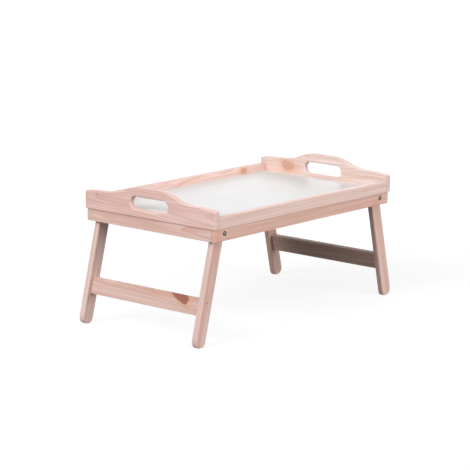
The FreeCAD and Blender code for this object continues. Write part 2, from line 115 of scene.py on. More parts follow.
class BedTrayFinish(PropertyGroup):
    early_wood: colour("Early wood", "Pale wood between the rings", (0.80, 0.585, 0.525))
    late_wood: colour("Late wood", "Darker line of each ring", (0.63, 0.355, 0.275))
    end_grain: colour("End grain", "Wood cut across the grain", (0.70, 0.52, 0.465))
    knot: colour("Knot", "Heart of a knot", (0.33, 0.095, 0.062))
    resin: colour("Resin", "Resin-rich wood, as round a knot", (0.70, 0.36, 0.235))
    ring_width: length("Ring width", "Width of one year's ring", 0.0031)
    panel: colour("Panel", "White laminate of the tray", (0.755, 0.745, 0.74))
    # Nickel darkened well below real plating: the dark tone paints the dark reflections on the bolt
    # heads.
    nickel_darkened_reflection: colour("Nickel", "Darkened nickel of the pivots", (0.13, 0.105, 0.095))
    zinc: colour("Zinc", "Screws under the lower frame", (0.58, 0.57, 0.55))
    pin: colour("Pins", "Dull steel of the stretcher pins", (0.10, 0.085, 0.08))


# --------------------------------------------------------------------- curves
# A curve is an array of (along, across) points in a board's face, anticlockwise and closed.

def arc(centre, radius, first, last, steps):
    """Points centre + radius * (cos t, sin t), with t in even steps from first to last."""
    t = np.linspace(first, last, steps + 1)
    return np.asarray(centre) + radius * np.column_stack((np.cos(t), np.sin(t)))


def circle(radius, steps=48):
    """Circle about the origin."""
    return arc((0, 0), radius, 0, 2 * math.pi, steps)[:-1]


def full_turn(steps):
    """Directions in even steps round a full turn, as one row."""
    return np.linspace(0, 2 * math.pi, steps, endpoint=False)[None, :]


def rounded_rectangle(long, wide, corner, steps=4, stations=25):
    """Rectangle about the origin with its corners on quarter circles.

    The long sides have the same stations, so the halves are mirror images.
    """
    a, b = long / 2 - corner, wide / 2 - corner
    run = np.linspace(-a, a, stations)[1:-1]
    quarter = math.pi / 2
    low = np.column_stack((run, np.full_like(run, -wide / 2)))
    middles = ((a, -b, -quarter), (a, b, 0), (-a, b, quarter), (-a, -b, 2 * quarter))
    corners = [arc((x, y), corner, turn, turn + quarter, steps) for x, y, turn in middles]
    return np.vstack((low, corners[0], corners[1], -low, corners[2], corners[3]))


def camel_back(sizes):
    """Outline of an end board: a flat crest, an S of two equal arcs on each side down to the
    shoulder, a slow arc to the small corner, and straight sides and bottom.

    The bottom corners are a little rounder than the edge, so that drawing the outline in by the
    edge's radius doesn't fold them over.
    """
    low, high = BOARD_LOW, BOARD_HIGH
    half, crest, flat = (high.y - low.y) / 2, high.z - low.z, sizes.crest_half
    start, level = sizes.shoulder_start, sizes.shoulder_height
    slow, corner, foot = sizes.shoulder_radius, sizes.corner_round, sizes.board_round + 2 * SUPPORT
    quarter = math.pi / 2
    run, rise = start - flat, crest - level
    swing = (run * run + rise * rise) / (4 * rise)
    turn = math.asin(run / (2 * swing))
    across = half - corner - start
    above = math.sqrt((slow - corner) ** 2 - across ** 2)
    lean = math.atan2(above, across)
    right = np.vstack((
        arc((half - foot, foot), foot, -quarter, 0, 6),
        arc((half - corner, level - slow + above), corner, 0, lean, 8),
        arc((start, level - slow), slow, lean, quarter, 12)[1:],
        arc((start, level + swing), swing, -quarter, -quarter - turn, 20)[1:],
        arc((flat, crest - swing), swing, quarter - turn, quarter, 20)[1:]))
    return np.vstack((right, right[::-1] * (-1, 1)))


def obround(long, wide, steps=24):
    """Two half circles joined by straights, about the origin."""
    reach, quarter = (long - wide) / 2, math.pi / 2
    return np.vstack((arc((reach, 0), wide / 2, -quarter, quarter, steps),
                      arc((-reach, 0), wide / 2, quarter, 3 * quarter, steps)))


def leg_outline(sizes, pivot, side, box):
    """Outline of an open leg about its pivot, as (up the leg, across it).

    Its head is a half circle. Its foot is a superellipse, half the width times the powers
    2 / foot_power of |cos t| and |sin t|, which makes it blunter. What would pass the underside
    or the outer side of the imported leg's box goes straight back to it.
    """
    half, quarter, power = sizes.leg_width / 2, math.pi / 2, 2 / sizes.foot_power
    lean, rise = side * math.sin(sizes.splay), math.cos(sizes.splay)
    foot = (pivot[2] - half) / rise
    blunt = arc((0, 0), 1, quarter, 3 * quarter, 24)
    blunt = np.sign(blunt) * np.abs(blunt) ** power * half - (foot, 0)
    outline = np.vstack((arc((0, 0), half, -quarter, quarter, 24), blunt))
    x = pivot[0] + outline @ (-lean, rise)
    z = pivot[2] + outline @ (rise, lean)
    sunk = np.maximum(box[0].z - z, 0)
    beyond = x - np.clip(x, box[0].x, box[1].x)
    return outline + sunk[:, None] * (rise, lean) - beyond[:, None] * (-lean, rise)


def out_of(curve):
    """Unit normals that point out of an anticlockwise curve: the chord between a point's two
    neighbours, turned a quarter to the right."""
    chord = np.roll(curve, -1, axis=0) - np.roll(curve, 1, axis=0)
    normal = np.column_stack((chord[:, 1], -chord[:, 0]))
    return normal / np.linalg.norm(normal, axis=1, keepdims=True)


def in_same_directions(outer, inner, centre, extra=144):
    """Both curves sampled at one set of directions from a centre.

    The set holds the directions of all their own points and an even fan, without those that all
    but repeat another. A sample lies on the chord between the two points beside its direction.
    """
    turn = 2 * math.pi
    angles = [np.arctan2(*(curve - centre).T[::-1]) % turn for curve in (outer, inner)]
    every = np.sort(np.concatenate((*angles, np.linspace(0, turn, extra, False))))
    every = every[np.diff(every, append=every[0] + turn) > 1e-4]
    return [np.column_stack([np.interp(every, angle, curve[:, axis], period=turn)
                             for axis in (0, 1)])
            for angle, curve in zip(angles, (outer, inner))]


# --------------------------------------------------------------------- places

class Seat:
    """Where a piece lies: its middle, and its own axes along, across and through it."""

    def __init__(self, middle, along, across):
        self.middle = np.array(middle, float)
        self.axes = np.array([along, across, np.cross(along, across)], float)

    def place(self, own):
        """Points of the frame: middle + the own coordinates times the axes."""
        return self.middle + own @ self.axes

    def turn(self):
        """Euler angles that carry the frame's axes to the piece's."""
        return Matrix(self.axes.T.tolist()).to_euler()


def leg_axes(side, splay):
    """Directions up an open leg and across it, for the left (-1) or the right (1) frame."""
    up = (-side * math.sin(splay), 0, math.cos(splay))
    across = (math.cos(splay), 0, side * math.sin(splay))
    return up, across


# --------------------------------------------------------------------- meshes

def skin(name, grid, ring):
    """Mesh object of a grid of points (around, section, 3), closed around, and along its section
    too where it is a ring. Points that coincide become one, and faces point outwards."""
    around, section = grid.shape[:2]
    i = np.arange(around)[:, None]
    j = np.arange(section if ring else section - 1)[None, :]
    after_i, after_j = (i + 1) % around, (j + 1) % section
    corners = ((i, j), (after_i, j), (after_i, after_j), (i, after_j))
    quads = np.stack([np.broadcast_to(a * section + b, (around, j.shape[1])) for a, b in corners],
                     axis=-1)
    mesh = bpy.data.meshes.new(name)
    mesh.from_pydata(grid.reshape(-1, 3).tolist(), [], quads.reshape(-1, 4).tolist())
    work = bmesh.new()
    work.from_mesh(mesh)
    bmesh.ops.remove_doubles(work, verts=work.verts, dist=2e-7)
    bmesh.ops.recalc_face_normals(work, faces=work.faces)
    work.to_mesh(mesh)
    work.free()
    mesh.polygons.foreach_set("use_smooth", np.ones(len(mesh.polygons), bool))
    piece = bpy.data.objects.new(name, mesh)
    bpy.context.scene.collection.objects.link(piece)
    return piece


def board_grid(outline, draw, edge, inner, stock, inner_draw=None, rim=0.0, steps=5):
    """Skin of a flat board as points (around, section, 3) in its own axes.

    A point is (1 - s) * (outline - a * draw) + s * (inner + b * inner draw), at depth d. Going
    over an edge, a rises as 1 - cos t, while the depth falls short of the face by the edge's
    radius times 1 - sin t, which rounds it, and b does the same at the rim of a hole. s goes from
    the outline to the inner curve on each face. Without an inner draw the inner curve is the
    board's spine, and the faces close on it.
    """
    t = np.linspace(0, math.pi / 2, steps + 1)
    zero, one = np.zeros_like(t), np.ones_like(t)
    over, short = 1 - np.cos(t), 1 - np.sin(t)
    rows = [np.column_stack((zero, over, zero, short * edge)), [(0, 1 + SUPPORT / edge, 0, 0)]]
    if inner_draw is None:
        rows.append([(1, 0, 0, 0)])
    else:
        rows.append([(1, 0, 1 + SUPPORT / rim, 0)])
        rows.append(np.column_stack((one, zero, over, short * rim))[::-1])
    half = np.vstack(rows)
    depth = stock / 2 - half[:, 3]
    s, a, b, _ = np.vstack((half[::-1], half)).T[:, None, :, None]
    depth = np.broadcast_to(np.concatenate((depth[::-1], -depth)), (len(outline), 2 * len(half)))
    flat = (1 - s) * (outline[:, None] - a * draw[:, None]) + s * inner[:, None]
    if inner_draw is not None:
        flat = flat + s * b * inner_draw[:, None]
    return np.concatenate((flat, depth[..., None]), axis=-1)


def plank(name, seat, long, wide, stock, edge, end):
    """Straight board with its long edges rounded and its ends drawn back a little.

    The outline of each level is the whole outline scaled down: by the edge's radius over half the
    width across, and by the end's over half the length along. The faces close on the middle line.
    """
    outline = rounded_rectangle(long, wide, end)
    draw = outline * (2 * end / long, 2 * edge / wide)
    reach = (long - wide) / 2
    spine = np.column_stack((np.clip(outline[:, 0], -reach, reach), np.zeros(len(outline))))
    return skin(name, seat.place(board_grid(outline, draw, edge, spine, stock)), ring=False)


def pierced(name, seat, outline, edge, hole, rim, stock, steps=5):
    """Board with a hole: the edges of both are rounded along their curves' normals."""
    grid = board_grid(outline, edge * out_of(outline), edge, hole, stock,
                      rim * out_of(hole), rim, steps)
    return skin(name, seat.place(grid), ring=True)


def turned(name, seat, rows, ring=False):
    """Piece turned on a lathe about its own first axis.

    rows is (heights, radii), each (section, around) or (section, 1): a point is
    (height, radius * cos t, radius * sin t).
    """
    heights, radii = np.broadcast_arrays(*rows)
    t = np.linspace(0, 2 * math.pi, radii.shape[1], endpoint=False)
    grid = np.stack((heights, radii * np.cos(t), radii * np.sin(t)), axis=-1).transpose(1, 0, 2)
    return skin(name, seat.place(grid), ring)


def hexagon_radius(flats, t):
    """Radius of a hexagon in direction t: half the width across its flats, divided by the cosine
    of the angle to the nearest flat's middle."""
    return flats / 2 / np.cos((t + math.pi / 6) % (math.pi / 3) - math.pi / 6)


# ------------------------------------------------------------------ materials

class Wiring:
    """Nodes of one material or world, added and joined in the order of the pattern."""

    def __init__(self, owner):
        owner.use_nodes = True
        self.owner = owner
        self.tree = owner.node_tree
        self.tree.nodes.clear()

    def feed(self, socket, value):
        if isinstance(value, bpy.types.NodeSocket):
            self.tree.links.new(value, socket)
        else:
            socket.default_value = value

    def node(self, kind, feeds=None, **settings):
        made = self.tree.nodes.new("ShaderNode" + kind)
        for key, value in settings.items():
            setattr(made, key, value)
        for socket, value in (feeds or {}).items():
            self.feed(made.inputs[socket], value)
        return made

    def math(self, operation, *values):
        made = self.node("Math", operation=operation)
        for socket, value in zip(made.inputs, values):
            self.feed(socket, value)
        return made.outputs[0]

    def vector(self, operation, *values):
        made = self.node("VectorMath", operation=operation)
        for socket, value in zip(made.inputs, values):
            self.feed(socket, value)
        return made.outputs["Value" if operation in ("LENGTH", "DOT_PRODUCT") else "Vector"]

    def stretched(self, place, scale):
        """The place with each axis scaled."""
        return self.vector("MULTIPLY", place, scale)

    def noise(self, place, scale=1.0, detail=2.0, roughness=0.5):
        return self.node("TexNoise", {"Vector": place, "Scale": scale, "Detail": detail,
                                      "Roughness": roughness}).outputs["Fac"]

    def smooth(self, value, low, high, first=0.0, last=1.0):
        """Smooth step from first to last as the value goes from low to high."""
        made = self.node("MapRange", {"Value": value, "From Min": low, "From Max": high,
                                      "To Min": first, "To Max": last},
                         interpolation_type="SMOOTHSTEP")
        return made.outputs["Result"]

    def grey(self, value):
        """Grey of that brightness."""
        made = self.node("CombineColor", {"Red": value, "Green": value, "Blue": value})
        return made.outputs[0]

    def bump(self, height, strength, depth):
        """Normal of a surface that rises with the height, by up to the depth in metres."""
        made = self.node("Bump", {"Height": height, "Strength": strength, "Distance": depth})
        return made.outputs["Normal"]

    def mix(self, share, first, second, blend="MIX"):
        """Colours mixed by a share; a plain colour is given as three numbers."""
        made = self.node("Mix", data_type="RGBA", blend_type=blend)
        self.feed(made.inputs["Factor"], share)
        for socket, value in ((made.inputs["A"], first), (made.inputs["B"], second)):
            sockets = [s for s in made.inputs if s.name == socket.name and s.type == "RGBA"]
            self.feed(sockets[0], value if isinstance(value, bpy.types.NodeSocket) else (*value, 1))
        return next(s for s in made.outputs if s.type == "RGBA")

    def finish(self, **inputs):
        """Principled shader on the output, with each given input."""
        shader = self.node("BsdfPrincipled", {name.replace("_", " "): value
                                              for name, value in inputs.items()})
        self.node("OutputMaterial", {"Surface": shader.outputs["BSDF"]})
        return self.owner


def knot_fields(w, shifted, x, y, knot):
    """One knot in a board: the bent coordinate across the grain, its heart and the resin round it.

    knot is (along, across, half length, half height, slant, taper, heart, resin). With v the
    height over the knot's middle in half heights, u is the length from its middle line, which
    slants by slant, in half lengths times 1 + taper * v. The distance is the root of u * u + v * v
    and a little noise, 1 at the knot's border. The coordinate across is drawn to the knot's middle
    by a bell curve of the distance, so the rings part and pass it.
    """
    along, across, half_long, half_high, slant, taper, heart, resin = knot
    over = w.math("SUBTRACT", y, across)
    v = w.math("DIVIDE", over, half_high)
    swell = w.math("MAXIMUM", w.math("MULTIPLY_ADD", v, taper, 1.0), 0.12)
    beside = w.math("MULTIPLY_ADD", over, -slant, w.math("SUBTRACT", x, along))
    u = w.math("DIVIDE", w.math("DIVIDE", beside, half_long), swell)
    away = w.math("SQRT", w.math("ADD", w.math("MULTIPLY", u, u), w.math("MULTIPLY", v, v)))
    ragged = w.noise(shifted, 210.0, 3.0)
    away = w.math("ADD", away, w.math("MULTIPLY_ADD", ragged, 0.44, -0.22))
    bell = w.math("EXPONENT", w.math("MULTIPLY", w.math("MULTIPLY", away, away), -0.32))
    bent = w.math("MULTIPLY_ADD", over, w.math("SUBTRACT", 1.0, bell), across)
    rings = w.math("MULTIPLY_ADD", w.math("SINE", w.math("MULTIPLY", away, 15.0)), 0.07, 0.93)
    core = w.math("MULTIPLY", w.math("MULTIPLY", w.smooth(away, 1.08, 0.86), heart), rings)
    around = w.math("MULTIPLY", w.smooth(away, 2.5, 0.8), resin)
    return bent, core, around


# Features per metre of each pattern, along, across and through the grain or the wiping.
WAVER = (2.6, 9.0, 9.0)
UNEVEN = (6, 160, 160)
FIBRES = (14, 1100, 1100)
STREAKS = (3.2, 150, 150)
BLUSH = (6, 30, 30)
CANALS = (34, 950, 950)
WIPING = (14, 230, 230)
SCRATCHES = (900, 2600, 5200)

# How far the pith and a vein wander, in metres.
PITH_WANDER = (0.016, 0.020)
VEIN_WANDER = 0.010


def pine(name, seat, finish, pith, tint=(1, 1, 1), drift=0.02, seed=0.0, knots=(), veins=()):
    """Sawn pine as a solid pattern, so faces, edges and ends of a board agree.

    The board is cut from a log whose pith runs beside it at pith = (across, through). The rings
    are the fraction of the distance from that wavering pith over the ring width: pale early wood
    darkens to a thin late line. Fine fibres and resin canals are noise stretched along the grain.
    A vein is a resin-rich band along the board: (across, half width, depth of colour).
    """
    w = Wiring(bpy.data.materials.new(name))
    own = w.node("Mapping", {"Vector": w.node("TexCoord").outputs["Object"],
                             "Location": seat.middle.tolist(), "Rotation": seat.turn()},
                 vector_type="TEXTURE").outputs["Vector"]
    parts = w.node("SeparateXYZ", {"Vector": own}).outputs
    x, y, z = parts["X"], parts["Y"], parts["Z"]
    shifted = w.vector("ADD", own, (seed * 1.7, seed * 0.9, seed * 2.3))

    heart, resin = 0.0, 0.0
    for knot in knots:
        y, core, around = knot_fields(w, shifted, x, y, knot)
        heart = w.math("MAXIMUM", heart, core)
        resin = w.math("MAXIMUM", resin, around)

    slow = w.stretched(shifted, WAVER)
    waver = w.noise(slow, 1.0, 2.0)
    other = w.noise(w.vector("ADD", slow, (7.3, 2.1, 4.7)), 1.0, 2.0)
    wander_y, wander_z = PITH_WANDER
    from_pith = w.node("CombineXYZ", {
        "Y": w.math("ADD", w.math("SUBTRACT", y, pith[0]),
                    w.math("MULTIPLY_ADD", waver, wander_y, -wander_y / 2)),
        "Z": w.math("ADD", w.math("SUBTRACT", z, pith[1]),
                    w.math("MULTIPLY_ADD", other, wander_z, -wander_z / 2))})
    radius = w.math("MULTIPLY_ADD", x, drift, w.vector("LENGTH", from_pith.outputs["Vector"]))
    uneven = w.noise(w.stretched(shifted, UNEVEN), 1.0, 2.0)
    phase = w.math("MULTIPLY_ADD", uneven, 0.35, w.math("DIVIDE", radius, finish.ring_width))
    share = w.math("FRACT", phase)
    year = w.node("TexNoise", {"W": w.math("FLOOR", phase), "Scale": 0.77, "Detail": 1.0},
                  noise_dimensions="1D").outputs["Fac"]
    late = w.math("MULTIPLY", w.smooth(share, 0.25, 0.9), w.smooth(share, 1.0, 0.94))
    late = w.math("MULTIPLY", late, w.smooth(year, 0.25, 0.75, 0.35, 1.0))

    for across, half_wide, depth in veins:
        wandering = w.math("MULTIPLY_ADD", waver, VEIN_WANDER, y)
        off = w.math("ABSOLUTE", w.math("SUBTRACT", wandering, across + VEIN_WANDER / 2))
        band = w.math("MULTIPLY", w.smooth(off, half_wide, 0.3 * half_wide), depth)
        band = w.math("MULTIPLY", band, w.smooth(uneven, 0.2, 0.75, 0.35, 1.0))
        resin = w.math("MAXIMUM", resin, band)

    fibres = w.noise(w.stretched(shifted, FIBRES), 1.0, 3.0, 0.6)
    streaks = w.noise(w.stretched(shifted, STREAKS), 1.0, 3.0, 0.6)
    blush = w.noise(w.stretched(shifted, BLUSH), 1.0, 2.0)
    canals = w.node("TexVoronoi", {"Vector": w.stretched(shifted, CANALS), "Scale": 1.0},
                    feature="F1").outputs["Distance"]
    canal = w.math("MULTIPLY", w.smooth(canals, 0.16, 0.06), w.smooth(late, 0.1, 0.7, 0.25, 1.0))

    normal = w.node("TexCoord").outputs["Normal"]
    across_grain = w.math("ABSOLUTE", w.vector("DOT_PRODUCT", normal, seat.axes[0].tolist()))
    cut_end = w.smooth(across_grain, 0.55, 0.95)

    def shade(rgb, by=1.0):
        return tuple(c * t * by for c, t in zip(rgb, tint))

    base = w.mix(w.math("MULTIPLY", late, 0.75), shade(finish.early_wood), shade(finish.late_wood))
    base = w.mix(w.smooth(blush, 0.35, 0.7, 0.0, 0.34), base, shade(finish.late_wood, 1.12))
    base = w.mix(w.smooth(streaks, 0.34, 0.68, 0.0, 0.58), base, shade(finish.late_wood))
    base = w.mix(w.math("MULTIPLY", cut_end, 0.65), base, shade(finish.end_grain))
    grey = w.math("MULTIPLY_ADD", fibres, 0.24, 0.88)
    base = w.mix(1.0, base, w.grey(grey), blend="MULTIPLY")
    base = w.mix(w.math("MULTIPLY", canal, 0.35), base, shade(finish.late_wood, 0.7))
    if knots or veins:
        base = w.mix(resin, base, shade(finish.resin))
    if knots:
        base = w.mix(heart, base, shade(finish.knot))

    relief = w.math("MULTIPLY_ADD", late, 0.5, w.math("MULTIPLY", fibres, 0.7))
    relief = w.math("MULTIPLY_ADD", canal, -0.6, relief)
    bump = w.bump(relief, 0.5, 0.00012)
    rough = w.math("MULTIPLY_ADD", late, -0.07, w.smooth(streaks, 0.2, 0.8, 0.44, 0.56))
    return w.finish(Base_Color=base, Roughness=rough, Normal=bump, Specular_IOR_Level=0.5)


def laminate(finish):
    """Smooth white laminate: a faint orange peel, and slight wiping marks in its gloss."""
    w = Wiring(bpy.data.materials.new("white_laminate"))
    own = w.node("TexCoord").outputs["Object"]
    cloud = w.noise(own, 9.0, 3.0)
    wiped = w.noise(w.stretched(own, WIPING), 1.0, 4.0, 0.6)
    peel = w.noise(own, 900.0, 2.0)
    speck = w.noise(own, 2600.0, 1.0)
    base = w.mix(w.smooth(cloud, 0.3, 0.7, 0.0, 1.0), finish.panel,
                 tuple(c * t for c, t in zip(finish.panel, (0.982, 0.984, 0.988))))
    base = w.mix(w.smooth(speck, 0.62, 0.78, 0.0, 0.10), base,
                 tuple(c * 0.86 for c in finish.panel))
    rough = w.math("ADD", w.smooth(wiped, 0.25, 0.75, 0.32, 0.45), w.math("MULTIPLY", cloud, 0.05))
    bump = w.bump(peel, 0.25, 0.00005)
    return w.finish(Base_Color=base, Roughness=rough, Normal=bump, Specular_IOR_Level=0.3)


def plated(name, tone, gloss):
    """Plated steel: fine scratches in the gloss, faint stains in the colour."""
    w = Wiring(bpy.data.materials.new(name))
    own = w.node("TexCoord").outputs["Object"]
    scratch = w.noise(w.stretched(own, SCRATCHES), 1.0, 3.0, 0.65)
    stain = w.noise(own, 420.0, 3.0)
    base = w.mix(w.smooth(stain, 0.42, 0.75), tone, tuple(c * 0.72 for c in tone))
    rough = w.math("ADD", w.smooth(scratch, 0.25, 0.8, gloss, gloss + 0.16),
                   w.math("MULTIPLY", stain, 0.08))
    bump = w.bump(scratch, 0.25, 0.00003)
    return w.finish(Base_Color=base, Roughness=rough, Normal=bump, Metallic=1.0)


# ------------------------------------------------------------------- dressing

def dress(piece, material, body, slot, *nodes):
    """Give a piece its material and body, and let it stand for its nodes. The slot is not used."""
    piece.data.materials.clear()
    piece.data.materials.append(material)
    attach(piece, body)
    if nodes:
        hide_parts(*nodes)


def settings():
    """Sizes and finish chosen in the scene."""
    scene = bpy.context.scene
    return scene.bed_tray_sizes, scene.bed_tray_finish


class BEDTRAY_OT_end_boards(Operator):
    """Camel-back end boards with rounded handle slots"""
    bl_idname = "bed_tray.end_boards"
    bl_label = "End Boards"

    WOOD = {
        "left": dict(pith=(0.030, -0.045), drift=0.022, seed=3.1, tint=(1.067, 1.083, 1.141),
                     knots=((0.143, 0.0331, 0.0030, 0.0022, 0.0, 0.0, 0.35, 0.4),)),
        "right": dict(pith=(0.012, -0.055), drift=0.018, seed=8.4, tint=(0.986, 1.143, 1.209),
                      knots=((0.140, 0.0170, 0.0300, 0.0140, 0.0, 0.0, 0.0, 0.20),
                             (0.097, 0.0235, 0.0185, 0.0080, 0.0, 0.0, 0.36, 0.75))),
    }

    def execute(self, context):
        sizes, finish = settings()
        slot = obround(sizes.slot_length, sizes.slot_height) + (0, sizes.slot_middle)
        outline, hole = in_same_directions(camel_back(sizes), slot, (0, sizes.slot_middle))
        for side, _ in SIDES:
            node = f"end_board_{side}"
            low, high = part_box(node)
            seat = Seat(((low.x + high.x) / 2, 0, low.z), (0, 1, 0), (0, 0, 1))
            board = pierced(f"camel_back_{side}", seat, outline, sizes.board_round, hole,
                            sizes.slot_round, high.x - low.x)
            dress(board, pine(f"pine_camel_back_{side}", seat, finish, **self.WOOD[side]),
                  "tray", "pine", node)
        return {"FINISHED"}


class BEDTRAY_OT_tray_rails(Operator):
    """Long low boards between the end boards"""
    bl_idname = "bed_tray.tray_rails"
    bl_label = "Tray Rails"

    WOOD = {
        "front": dict(pith=(0.055, -0.020), drift=0.006, seed=5.2, tint=(1.124, 1.240, 1.294)),
        "back": dict(pith=(0.020, -0.050), drift=0.012, seed=9.6, tint=(1.06, 1.134, 1.177),
                     knots=((0.205, 0.004, 0.0110, 0.0075, 0.0, 0.0, 0.38, 0.85),)),
    }

    def execute(self, context):
        sizes, finish = settings()
        long = -2 * BOARD_HIGH.x
        for face, _ in FACES:
            node = f"tray_rail_{face}"
            low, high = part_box(node)
            seat = Seat((0, (low.y + high.y) / 2, (low.z + high.z) / 2), (1, 0, 0), (0, 0, 1))
            rail = plank(f"rim_rail_{face}", seat, long, high.z - low.z, high.y - low.y,
                         sizes.board_round, sizes.joint_round)
            dress(rail, pine(f"pine_rim_rail_{face}", seat, finish, **self.WOOD[face]),
                  "tray", "pine", node)
        return {"FINISHED"}


class BEDTRAY_OT_lower_frame(Operator):
    """Rails and cross strips of the lower frame"""
    bl_idname = "bed_tray.lower_frame"
    bl_label = "Lower Frame"

    WOOD = {
        "front": dict(pith=(0.040, -0.030), drift=0.008, seed=12.2, tint=(1.001, 0.964, 0.940),
                      knots=((-0.288, 0.0, 0.0070, 0.0085, 0.0, 0.0, 0.0, 0.45),
                             (0.251, -0.012, 0.0090, 0.0070, 0.0, 0.0, 0.0, 0.6))),
        "back": dict(pith=(-0.035, -0.028), drift=0.010, seed=15.7, tint=(1.018, 1.0, 0.985)),
        "left": dict(pith=(0.006, -0.040), drift=0.016, seed=18.3, tint=(1.037, 1.070, 1.111)),
        "right": dict(pith=(-0.012, -0.046), drift=0.014, seed=21.9, tint=(1.03, 1.02, 1.015)),
    }

    def execute(self, context):
        sizes, finish = settings()
        for face, _ in FACES:
            node = f"apron_rail_{face}"
            low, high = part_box(node)
            seat = Seat((0, (low.y + high.y) / 2, (low.z + high.z) / 2), (1, 0, 0), (0, 0, 1))
            rail = plank(f"under_rail_{face}", seat, high.x - low.x, high.z - low.z, high.y - low.y,
                         sizes.frame_round, sizes.frame_round)
            dress(rail, pine(f"pine_under_rail_{face}", seat, finish, **self.WOOD[face]),
                  "tray", "pine", node)
        long = -2 * APRON_HIGH.y
        for side, _ in SIDES:
            node = f"apron_strip_{side}"
            low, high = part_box(node)
            seat = Seat(((low.x + high.x) / 2, 0, (low.z + high.z) / 2), (0, 1, 0), (0, 0, 1))
            strip = plank(f"cross_strip_{side}", seat, long, high.z - low.z, high.x - low.x,
                          sizes.frame_round, sizes.joint_round)
            dress(strip, pine(f"pine_cross_strip_{side}", seat, finish, **self.WOOD[side]),
                  "tray", "pine", node)
        return {"FINISHED"}


class BEDTRAY_OT_panel(Operator):
    """White laminate on the panel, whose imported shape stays"""
    bl_idname = "bed_tray.panel"
    bl_label = "Panel"

    def execute(self, context):
        panel = frame["nodes"]["tray_panel"]
        panel.data.materials.clear()
        panel.data.materials.append(laminate(settings()[1]))
        return {"FINISHED"}


class BEDTRAY_OT_leg_frames(Operator):
    """Legs with a round head and a blunter foot, and the stretcher of each pair"""
    bl_idname = "bed_tray.leg_frames"
    bl_label = "Leg Frames"

    WOOD = {
        "left_front": dict(pith=(0.002, -0.034), drift=0.004, seed=31.5, tint=(0.943, 0.994, 1.061),
                           veins=((-0.0070, 0.0055, 0.95), (-0.0015, 0.0018, 0.6))),
        "left_back": dict(pith=(0.030, -0.030), drift=0.004, seed=34.1, tint=(0.94, 1.0, 1.03),
                          veins=((-0.0080, 0.0018, 0.40), (0.0060, 0.0016, 0.30))),
        "right_front": dict(pith=(-0.006, -0.032), drift=0.005, seed=37.7, tint=(0.99, 1.0, 1.01),
                            veins=((0.0050, 0.0020, 0.40), (-0.0060, 0.0016, 0.35))),
        "right_back": dict(pith=(0.028, 0.036), drift=0.004, seed=40.2, tint=(0.862, 0.827, 0.789)),
        "left": dict(pith=(0.016, -0.038), drift=0.015, seed=43.8, tint=(0.887, 0.899, 0.907),
                     knots=((-0.0957, 0.0115, 0.0195, 0.0122, 0.87, 0.5, 1.0, 0.8),),
                     veins=((0.011, 0.0040, 0.35),)),
        # The right stretcher's tint is its wood tone and painted shade: it is darkened further to
        # deepen the shade the tray casts on it.
        "right": dict(pith=(-0.010, -0.042), drift=0.012, seed=46.4, tint=(0.771, 0.777, 0.722)),
    }

    def execute(self, context):
        sizes, finish = settings()
        for side, sign in SIDES:
            body = f"{side}_leg_frame"
            pivot = np.array(HINGES[body]["pos_m"])
            up, across = leg_axes(sign, sizes.splay)
            outline = leg_outline(sizes, pivot, sign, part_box(f"leg_{side}_front"))
            bore = circle(sizes.leg_bore / 2)
            outline, bore = in_same_directions(outline, bore, (0, 0), extra=96)
            for face, _ in FACES:
                node = f"leg_{side}_{face}"
                low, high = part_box(node)
                seat = Seat((pivot[0], (low.y + high.y) / 2, pivot[2]), up, across)
                leg = pierced(f"batten_{side}_{face}", seat, outline, sizes.leg_round, bore,
                              sizes.joint_round, sizes.leg_stock)
                dress(leg, pine(f"pine_batten_{side}_{face}", seat, finish,
                                **self.WOOD[f"{side}_{face}"]), body, "pine", node)
            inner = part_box(f"leg_{side}_back")[0].y
            middle = pivot - sizes.stretcher_reach * np.array(up)
            seat = Seat(middle, (0, 1, 0), up)
            stretcher = plank(f"spreader_{side}", seat, 2 * inner, sizes.stretcher_height,
                              sizes.stretcher_stock, sizes.board_round, sizes.joint_round)
            dress(stretcher, pine(f"pine_spreader_{side}", seat, finish, **self.WOOD[side]),
                  body, "pine", f"stretcher_{side}")
        return {"FINISHED"}


